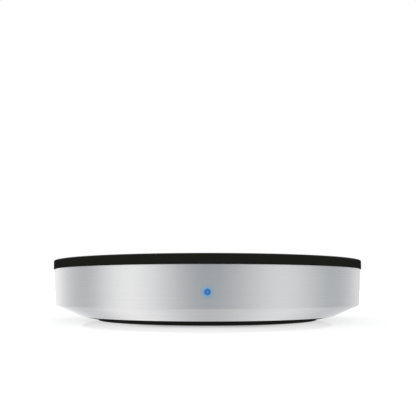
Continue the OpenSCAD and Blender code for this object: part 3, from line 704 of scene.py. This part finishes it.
def make_shell():
    """Silver ring: steep wall, crisp crease, chamfer, rear notch and the status light's hole."""
    # The wall's inner face meets the chamfer's at this radius
    rise = BASE_TOP_Z + CHAMFER_RISE - CREASE_Z - BASE_TOP_R * CHAMFER_SLOPE
    inner_r = (CREASE_R - SHELL_T + WALL_SLOPE * rise) / (1 - WALL_SLOPE * CHAMFER_SLOPE)
    shell = lathe(rounded([
        (BASE_TOP_R - LIP_W, BASE_TOP_Z, 0.1),
        (BASE_TOP_R, BASE_TOP_Z, 0.1),
        (CREASE_R, CREASE_Z, 0.12),
        (SHELL_TOP_R, RIM_Z, 0.12),
        (SHELL_TOP_R - SHELL_T, RIM_Z, 0.2),
        (inner_r, chamfer_in_z(inner_r), 0.3),
        (BASE_TOP_R - LIP_W, chamfer_in_z(BASE_TOP_R - LIP_W), 0.2)]))
    opening = rounded([(-NOTCH_HALF, CREASE_Z, 0.3), (NOTCH_HALF, CREASE_Z, 0.3),
                       (NOTCH_HALF, TOTAL_H, 0), (-NOTCH_HALF, TOTAL_H, 0)])
    notch = along_y(loft([(opening, 0), (opening, LID_R)]), 0, 0)
    face = wall_r(LED_Z)
    reach = 3
    hole_r, edge = LENS_R + LENS_GAP, face - LENS_RECESS
    hole = [(0, face - reach), (hole_r, face - reach), (hole_r, edge), (hole_r + reach, edge + reach),
            (0, edge + reach)]
    bore = lathe([(r, -y) for r, y in hole], 64)
    carve(shell, notch, along_y(bore, 0, LED_Z))
    return piece(clean(shell), "shell_ring", "silver_shell", "side_shell")


def make_lens():
    """Status light's lens: a softly domed face, a flange behind the wall and a stem to the light."""
    low, high = extent("led_lens")
    flange = -(wall_r(LED_Z) - SHELL_T - 0.2)
    profile = rounded([
        (0, high.y, 0),
        (LENS_R - 0.3, high.y, 0.1),
        (LENS_R - 0.3, flange + 0.7, 0.1),
        (LENS_R + 0.9, flange + 0.7, 0.1),
        (LENS_R + 0.9, flange, 0.1),
        (LENS_R, flange, 0.05),
        (LENS_R, low.y + 0.12, 0.3),
        (LENS_R * 0.6, low.y + 0.02, 0.8),
        (0, low.y, 0)], 6)
    return piece(along_y(lathe(profile, 64), 0, LED_Z), "light_lens", "lens_clear", "led_lens")


def slot_outline(grow):
    """Stadium of one air slot, lying along X."""
    long = VENT_R[1] - VENT_R[0]
    return rectangle(long, VENT_W, VENT_W / 2 - 0.02, grow, 8)


def post_profile(radius):
    """Profile of a post that stands on the base's floor and carries the board."""
    return rounded([(0, FLOOR_Z - 1, 0), (radius, FLOOR_Z - 1, 0), (radius, PCB_Z, 0.2), (0, PCB_Z, 0)], 3)


def make_base():
    """Black base: seat for the foot ring, 24 air slots, four screw wells and the posts inside."""
    base = lathe(rounded([
        (0, BASE_Z, 0),
        (FOOT_R - FOOT_W - GAP, BASE_Z, 0.08),
        (FOOT_R - FOOT_W - GAP, BASE_Z + FOOT_SEAT, 0),
        (FOOT_R + GAP, BASE_Z + FOOT_SEAT, 0),
        (FOOT_R + GAP, BASE_Z, 0.08),
        (BASE_EDGE_R, BASE_Z, 0.1),
        (BASE_TOP_R, BASE_TOP_Z, 0.08),
        (BASE_TOP_R - LIP_W - GAP, BASE_TOP_Z, 0),
        (BASE_TOP_R - LIP_W - GAP, FLOOR_Z + BASE_RING_H, 0.2),
        (BASE_TOP_R - 2 * LIP_W, FLOOR_Z + BASE_RING_H, 0.2),
        (BASE_TOP_R - 2 * LIP_W, FLOOR_Z, 0.3),
        (0, FLOOR_Z, 0)]))
    bosses = at_screws(lambda: lathe(post_profile(BOSS_R), 64))
    posts = [shift(lathe(post_profile(BOARD_POST_R), 64), (x, y, 0)) for x, y in BOARD_POSTS]
    weld(base, *bosses, *posts)
    recess = [(0, -1), (LABEL_R + GAP, -1), (LABEL_R + GAP, BASE_Z + 0.2), (0, BASE_Z + 0.2)]
    middle = sum(VENT_R) / 2
    slot_levels = ((0.35, -0.1), (0.35, BASE_Z - 0.1), (0, BASE_Z + 0.25),
                   (0, FLOOR_Z - 0.15), (0.2, FLOOR_Z + 0.05), (0.2, FLOOR_Z + 1))
    slots = []
    for i in range(VENTS):
        slot = loft([(slot_outline(grow), z) for grow, z in slot_levels])
        slots.append(spin(shift(slot, (middle, 0, 0)), (i + 0.5) * 360 / VENTS))
    well = [(0, -1), (WELL_R + WELL_FLARE, -1), (WELL_R, BASE_Z + 0.25), (WELL_R, SEAT_Z),
            (SCREW_HOLE_R, SEAT_Z), (SCREW_HOLE_R, PCB_Z + 1), (0, PCB_Z + 1)]
    wells = at_screws(lambda: lathe(well, 64))
    pilot = [(0, BOARD_PILOT_Z), (BOARD_PILOT_R, BOARD_PILOT_Z), (BOARD_PILOT_R, PCB_Z + 1), (0, PCB_Z + 1)]
    pilots = [shift(lathe(pilot, 32), (x, y, 0)) for x, y in BOARD_POSTS]
    carve(base, lathe(recess, 128), *slots, *wells, *pilots)
    pan = piece(clean(base), "base_pan", "black_satin", "base_plate")
    return edged(pan, BASE_Z + 0.02, BASE_TOP_Z + 0.1)


def make_foot():
    """Rubber ring that the player stands on, with three air notches at the rear."""
    ring = lathe(rounded([
        (FOOT_R - FOOT_W, 0, 0.18),
        (FOOT_R, 0, 0.18),
        (FOOT_R, FOOT_HIGH.z, 0.08),
        (FOOT_R - FOOT_W, FOOT_HIGH.z, 0.08)]))
    span = rounded([(-4.6, -0.3, 0), (4.6, -0.3, 0), (4, BASE_Z, 0.1), (-4, BASE_Z, 0.1)], 3)
    notches = []
    for angle in (-30, 0, 30):
        notch = along_y(loft([(span, FOOT_R - FOOT_W - 1), (span, FOOT_R + 1)]), 0, 0)
        notches.append(spin(notch, angle))
    carve(ring, *notches)
    return piece(clean(ring), "foot_pad", "foot_rubber", "foot_ring")


# ---------------------------------------------------------------- rear panel and its sockets

def hdmi_outline(grow):
    """Outline of the video socket about its middle: the two lower corners are cut."""
    size = size_of("hdmi_shell")
    x, y, cut = size.x / 2 + grow, size.z / 2 + grow, HDMI_CUT + grow * (2 - math.sqrt(2))
    r = max(HDMI_ROUND + grow, 0.05)
    corners = ((-x + cut, -y), (x - cut, -y), (x, -y + cut), (x, y), (-x, y), (-x, -y + cut))
    return rounded([(*corner, r) for corner in corners])


def growing_box(width, height, radius):
    """A function of growth that gives a rounded rectangle's outline."""
    return lambda grow: rectangle(width, height, radius, grow)


def box_outline(node, radius):
    """The same for a node's width and height, seen from behind."""
    size = size_of(node)
    return growing_box(size.x, size.z, radius)


def round_outline(radius):
    """A function of growth that gives a circle's outline."""
    return lambda grow: disc(radius + grow)


def bar(outline, x, z, stations):
    """Solid along Y through (y, growth) stations."""
    return along_y(loft([(outline(grow), y) for y, grow in stations]), x, z)


def socket_mouth(outline, x, z):
    """Cutter for a hole in the panel that slopes outwards at the face."""
    return bar(outline, x, z, [
        (PANEL_IN_Y - 1, SOCKET_GAP),
        (PANEL_Y - MOUTH, SOCKET_GAP),
        (PANEL_Y - MOUTH * 0.2, SOCKET_GAP + MOUTH * 0.7),
        (PANEL_Y + 1, SOCKET_GAP + MOUTH * 2)])


def chord_outline(radius, y, steps=40):
    """Outline of the part of a disc that lies behind y."""
    first = math.asin(y / radius)
    turn = math.pi - 2 * first
    angles = [first + turn * k / steps for k in range(steps + 1)]
    return [Vector((radius * math.cos(a), radius * math.sin(a))) for a in angles]


def shelf_r(z):
    """Radius of the panel's shelf at height z, clear of the chamfer's inner face."""
    return chamfer_in_r(z) - SHELF_GAP


def make_panel():
    """Black port panel: eased face, sloped mouths round the sockets, the shelf below, the lip in the lid."""
    foot_z = CREASE_Z + 0.02
    middle_z, tall = (foot_z + RIM_Z) / 2, RIM_Z - foot_z
    plate = growing_box(2 * PANEL_HALF, tall, 0.2)
    panel = bar(plate, 0, middle_z,
                [(PANEL_IN_Y, 0), (PANEL_Y - 0.15, 0), (PANEL_Y - 0.04, -0.04), (PANEL_Y, -0.15)])
    shelf = loft([(chord_outline(shelf_r(CREASE_Z - SHELF_T), PANEL_IN_Y), CREASE_Z - SHELF_T),
                  (chord_outline(shelf_r(CREASE_Z) - 0.05, PANEL_IN_Y), CREASE_Z - 0.05),
                  (chord_outline(shelf_r(CREASE_Z) - 0.15, PANEL_IN_Y), CREASE_Z)])
    lip_half = math.sqrt((SPIGOT_R - SPIGOT_T - GAP) ** 2 - PANEL_Y ** 2)
    lip = block((-lip_half, PANEL_IN_Y, RIM_Z - 1), (lip_half, PANEL_Y, UNDER_Z - GAP), 0.15)
    root_half = math.sqrt((shelf_r(CREASE_Z) - 1) ** 2 - PANEL_Y ** 2)
    root = block((-root_half, PANEL_IN_Y, CREASE_Z - 0.5), (root_half, PANEL_Y - 0.3, CREASE_Z + 0.5))
    weld(panel, shelf, root, lip)
    sockets = []
    for outline, node in ((box_outline("rj45_shield", 0.4), "rj45_shield"), (hdmi_outline, "hdmi_shell"),
                          (box_outline("usb_shell", 0.5), "usb_shell")):
        at = middle_of(node)
        sockets.append(socket_mouth(outline, at.x, at.z))
    sockets.append(socket_mouth(round_outline(POWER_NOSE_R), POWER_AT.x, POWER_AT.z))
    sockets.append(socket_mouth(round_outline(RESET_R - GAP), RESET_AT.x, RESET_AT.z))
    carve(panel, *sockets)
    return piece(clean(panel), "port_panel", "black_satin", "rear_panel")


def make_socket_shell(node, outline, skin, name, slot):
    """Folded metal shell of a socket: rounded corners and a thin rolled edge at its mouth."""
    low, high = extent(node)
    at = middle_of(node)
    edge = skin * 0.3
    ease = 0.15
    outside = bar(outline, at.x, at.z,
                  [(low.y, -ease), (low.y + ease, 0), (high.y - edge, 0), (high.y, -edge)])
    inside = bar(outline, at.x, at.z,
                 [(low.y + skin, -skin), (high.y - edge, -skin), (high.y + 0.5, edge + 0.5 - skin)])
    carve(outside, inside)
    return piece(clean(outside), name, slot, node)


def port_cut(x, z, width, height, deep, flare=FLARE):
    """Cutter for a mouth that runs in from the sockets' face and flares at it. z is its floor."""
    stations = [(PORT_Y - deep, 0), (PORT_Y - flare, 0), (PORT_Y + 1, flare + 1)]
    return bar(growing_box(width, height, 0.15), x, z + height / 2, stations)


def make_rj45_body():
    """Plastic body of the network socket: flared mouth, latch slot and two windows for the link lights."""
    low, high = extent("rj45_housing")
    floor = extent("rj45_shield")[0].z + RJ45_FLOOR
    x = middle_of("rj45_housing").x
    body = block(low, high, 0.12)
    cuts = [port_cut(x, floor, RJ45_MOUTH.x, RJ45_MOUTH.z, RJ45_MOUTH.y),
            port_cut(x, floor - RJ45_LATCH.z, RJ45_LATCH.x, RJ45_LATCH.z + 1, RJ45_LATCH.y)]
    first, last = extent("rj45_lights")
    for side in (-1, 1):
        centre = x + side * ((last.x - first.x) - RJ45_LIGHT_W) / 2
        cuts.append(port_cut(centre, first.z - GAP / 2, RJ45_LIGHT_W + GAP, last.z - first.z + GAP,
                             last.y - first.y + GAP, 0.02))
    carve(body, *cuts)
    piece(clean(body), "network_body", "insulator_black", "rj45_housing")
    half = RJ45_LIGHT_W / 2
    lights = [block((centre - half, first.y, first.z), (centre + half, last.y, last.z), 0.12)
              for centre in (first.x + half, last.x - half)]
    piece(weld(*lights), "link_lights", "link_light", "rj45_lights")


def make_power_jack():
    """Body of the power inlet: eased block, round nose in the panel and a coned mouth."""
    low, high = extent("dc_jack")
    block_back = PANEL_IN_Y - SOCKET_GAP
    jack = block(low, (high.x, block_back, high.z), 0.25)
    nose = lathe(rounded([
        (0, block_back - 1, 0),
        (POWER_NOSE_R, block_back - 1, 0),
        (POWER_NOSE_R, PORT_Y, 0.2),
        (0, PORT_Y, 0)]), 96)
    weld(jack, along_y(nose, POWER_AT.x, POWER_AT.z))
    bore = lathe([
        (0, PORT_Y - POWER_DEEP),
        (POWER_BORE_R, PORT_Y - POWER_DEEP),
        (POWER_BORE_R, PORT_Y - FLARE),
        (POWER_BORE_R + (1 + FLARE), PORT_Y + 1),
        (0, PORT_Y + 1)], 96)
    carve(jack, along_y(bore, POWER_AT.x, POWER_AT.z))
    return piece(clean(jack), "power_jack", "insulator_black", "dc_jack")


def make_reset_cap():
    """Reset button: softly dished nose, flange behind the panel and the stub that meets the switch."""
    low, high = extent("reset_button")
    flange = PANEL_IN_Y - 0.2
    cap = lathe(rounded([
        (0, low.y, 0),
        (RESET_STUB_R, low.y, 0.12),
        (RESET_STUB_R, flange - RESET_FLANGE_T, 0.1),
        (RESET_FLANGE_R, flange - RESET_FLANGE_T, 0.12),
        (RESET_FLANGE_R, flange, 0.12),
        (RESET_R, flange, 0.08),
        (RESET_R, high.y, 0.28),
        (0.7, high.y - 0.14, 0.9),
        (0, high.y - 0.2, 0)], 6), 72)
    along_y(cap, RESET_AT.x, RESET_AT.z)
    return piece(cap, "reset_cap", "button_grey", "reset_button", body="reset_button")


# ---------------------------------------------------------------- underside

def make_label():
    """Blank round label with a softly rolled edge."""
    low, high = extent("rating_label")
    profile = rounded([(0, low.z, 0), (LABEL_R, low.z, 0.06), (LABEL_R, high.z, 0.03), (0, high.z, 0)], 3)
    return piece(lathe(profile, 180), "label_disc", "label_film", "rating_label")


def cross_cutter(radius, deep):
    """Tapered cross for a screw's driver, opening downwards from height 0."""
    def arms(scale):
        long, half = radius * scale, radius * 0.2 * scale
        inner = radius * 0.26 * scale
        quarter = [Vector((long, -half)), Vector((long, half)), Vector((inner, inner))]
        turned = []
        for k in range(4):
            turned += [Matrix.Rotation(k * math.pi / 2, 2) @ p for p in quarter]
        return turned
    return loft([(arms(1.25), -1), (arms(1.1), -0.02), (arms(0.45), deep)])


def make_screw():
    """One case screw, head down: domed head, cross recess, thread rings and a cut point."""
    low, high = extent("case_screws")
    thread = []
    z = SEAT_Z + 1.5
    while z < high.z - 1.2:
        thread += [(SCREW_SHANK_R - THREAD_DEEP, z, 0), (SCREW_SHANK_R, z + THREAD_PITCH * 0.45, 0),
                   (SCREW_SHANK_R, z + THREAD_PITCH * 0.6, 0)]
        z += THREAD_PITCH
    screw = lathe(rounded([
        (0, low.z, 0),
        (SCREW_HEAD_R, low.z, 0.7),
        (SCREW_HEAD_R, SEAT_Z, 0.15),
        (SCREW_SHANK_R - THREAD_DEEP, SEAT_Z, 0.1),
        *thread,
        (SCREW_SHANK_R - THREAD_DEEP, high.z - 1, 0),
        (0.4, high.z, 0),
        (0, high.z, 0)]), 48)
    return carve(screw, shift(cross_cutter(CROSS_R, SCREW_HEAD_H * 0.6), (0, 0, low.z)))


def make_case_screws():
    """The four case screws, as separate solids of one piece."""
    first, *others = at_screws(make_screw)
    weld(first, *others)
    return piece(clean(first), "case_screw_set", "steel_black", "case_screws")


make_lid()
make_shell()
make_lens()
make_base()
make_foot()
make_panel()
make_socket_shell("rj45_shield", box_outline("rj45_shield", 0.4), 0.3, "network_shell", "tin_plate")
make_socket_shell("hdmi_shell", hdmi_outline, 0.35, "video_shell", "tin_plate")
make_socket_shell("usb_shell", box_outline("usb_shell", 0.5), 0.3, "usb_case", "tin_plate")
make_rj45_body()
make_power_jack()
make_reset_cap()
make_label()
make_case_screws()


# ---------------------------------------------------------------- studio

EYE_BACK = 227.1 * MM
EYE_UP = 12.01 * MM
PITCH = math.radians(3)
LENS_MM = 48.57
SHIFT = (0.0012, 0.1239)


def make_camera():
    data = bpy.data.cameras.new("camera")
    data.lens = LENS_MM
    data.sensor_width = 36
    data.shift_x, data.shift_y = SHIFT
    data.clip_start = 0.01
    camera = bpy.data.objects.new("camera", data)
    camera.location = (0, -EYE_BACK, EYE_UP)
    camera.rotation_euler = (math.pi / 2 + PITCH, 0, 0)
    bpy.context.scene.collection.objects.link(camera)
    bpy.context.scene.camera = camera


# The soft studio surround by direction: degrees round from the front, brightness, and how cool its white is
SURROUND = ((-180, 0.46, 0.8), (-152, 0.99, 0.0), (-98, 0.545, 0.4), (-57, 1.03, 0.0), (0, 0.385, 1.0),
            (55, 0.81, 0.15), (100, 0.51, 0.7), (150, 0.78, 0.2), (180, 0.46, 0.8))
TABLE = 1.35
SHADE = 0.42
COOL = (-0.06, 0.0, 0.06)
FILL = 1.25


def make_world():
    """Pure white behind, panels of light with gaps for what the metal mirrors, even fill for the rest."""
    world = bpy.data.worlds.new("studio")
    bpy.context.scene.world = world
    world.use_nodes = True
    tree = world.node_tree
    nodes, links = tree.nodes, tree.links
    nodes.clear()
    way = nodes.new("ShaderNodeTexCoord")
    split = nodes.new("ShaderNodeSeparateXYZ")

    def lower_band(span, level):
        """Mix towards one grey level, by how far down the direction points."""
        factor = nodes.new("ShaderNodeMapRange")
        factor.interpolation_type = "SMOOTHSTEP"
        for socket, value in zip(factor.inputs[1:5], span):
            socket.default_value = value
        mix = nodes.new("ShaderNodeMix")
        mix.data_type = "RGBA"
        mix.inputs[7].default_value = (level, level, level, 1)
        links.new(split.outputs["Z"], factor.inputs[0])
        links.new(factor.outputs[0], mix.inputs[0])
        return mix

    turn = nodes.new("ShaderNodeMath")
    turn.operation = "ARCTAN2"
    flip = nodes.new("ShaderNodeMath")
    flip.operation = "MULTIPLY"
    flip.inputs[1].default_value = -1
    spread = nodes.new("ShaderNodeMapRange")
    spread.inputs["From Min"].default_value = -math.pi
    spread.inputs["From Max"].default_value = math.pi
    ramp = nodes.new("ShaderNodeValToRGB")
    ramp.color_ramp.interpolation = "EASE"
    stops = ramp.color_ramp.elements
    while len(stops) < len(SURROUND):
        stops.new(0.5)
    for stop, (degrees, level, cool) in zip(stops, SURROUND):
        stop.position = degrees / 360 + 0.5
        stop.color = tuple(level * (1 + cool * change) for change in COOL) + (1,)
    table = lower_band((-0.15, -0.40, 0.0, 0.50), TABLE)
    shade = lower_band((-0.40, -0.54, 0.0, 0.80), SHADE)
    links.new(way.outputs["Generated"], split.inputs[0])
    path = nodes.new("ShaderNodeLightPath")
    fill = nodes.new("ShaderNodeMix")
    fill.data_type = "RGBA"
    fill.inputs[6].default_value = (FILL, FILL, FILL, 1)
    backdrop = nodes.new("ShaderNodeMix")
    backdrop.data_type = "RGBA"
    backdrop.inputs[7].default_value = (1, 1, 1, 1)
    shader = nodes.new("ShaderNodeBackground")
    output = nodes.new("ShaderNodeOutputWorld")
    links.new(split.outputs["X"], turn.inputs[0])
    links.new(split.outputs["Y"], flip.inputs[0])
    links.new(flip.outputs[0], turn.inputs[1])
    links.new(turn.outputs[0], spread.inputs[0])
    links.new(spread.outputs[0], ramp.inputs[0])
    links.new(path.outputs["Is Glossy Ray"], fill.inputs[0])
    links.new(ramp.outputs[0], table.inputs[6])
    links.new(table.outputs[2], shade.inputs[6])
    links.new(shade.outputs[2], fill.inputs[7])
    links.new(path.outputs["Is Camera Ray"], backdrop.inputs[0])
    links.new(fill.outputs[2], backdrop.inputs[6])
    links.new(backdrop.outputs[2], shader.inputs[0])
    links.new(shader.outputs[0], output.inputs[0])


# Where the parts of the table's mirror image fade out, in metres from the axis or to the side of it
MIRROR_NEAR = (0.0455, 0.0560)
MIRROR_ACROSS = (0.012, 0.032)
MIRROR_FAR = (0.055, 0.150)


def make_floor():
    """White table with a faint mirror image of the player that dies away from it."""
    bm = bmesh.new()
    bmesh.ops.create_circle(bm, cap_ends=True, segments=96, radius=4.0)
    floor = new_object("floor", bm)
    look = Look("floor_white", Roughness=0.9, Specular_IOR_Level=0.0, Emission_Color=rgb(1, 1, 1))
    # The floor's glow stops under the player's base: a painted contact shadow
    lit = look.between(look.radius(), (BASE_EDGE_R - 0.2) * MM, (BASE_EDGE_R + 0.8) * MM, 0.0, 0.85)
    look.feed(look.shader.inputs["Emission Strength"], lit)
    look.colour(look.blend(look.noise(60, 2), rgb(0.25, 0.25, 0.25), rgb(0.27, 0.27, 0.27)))
    mirror = look.node("BsdfGlossy")
    mirror.inputs["Roughness"].default_value = 0.03
    across = look.math("ABSOLUTE", look.node("SeparateXYZ", look.where).outputs["X"])
    near = look.math("MULTIPLY", look.between(look.radius(), *MIRROR_NEAR, 0.26, 0.0),
                     look.between(across, *MIRROR_ACROSS, 1.0, 0.0))
    fade = look.math("ADD", near, look.between(look.radius(), *MIRROR_FAR, 0.22, 0.0))
    grazing = look.math("MULTIPLY", look.node("Fresnel", 1.35).outputs[0], 1.5)
    fade = look.math("MULTIPLY", fade, look.math("MINIMUM", grazing, 1.0))
    mixed = look.node("MixShader", fade, look.shader.outputs[0], mirror.outputs[0])
    look.feed(look.tree.nodes["Material Output"].inputs[0], mixed.outputs[0])
    floor.data.materials.append(look.material)
    floor.visible_glossy = False


make_camera()
make_world()
make_floor()
bpy.context.scene.view_settings.view_transform = "Standard"
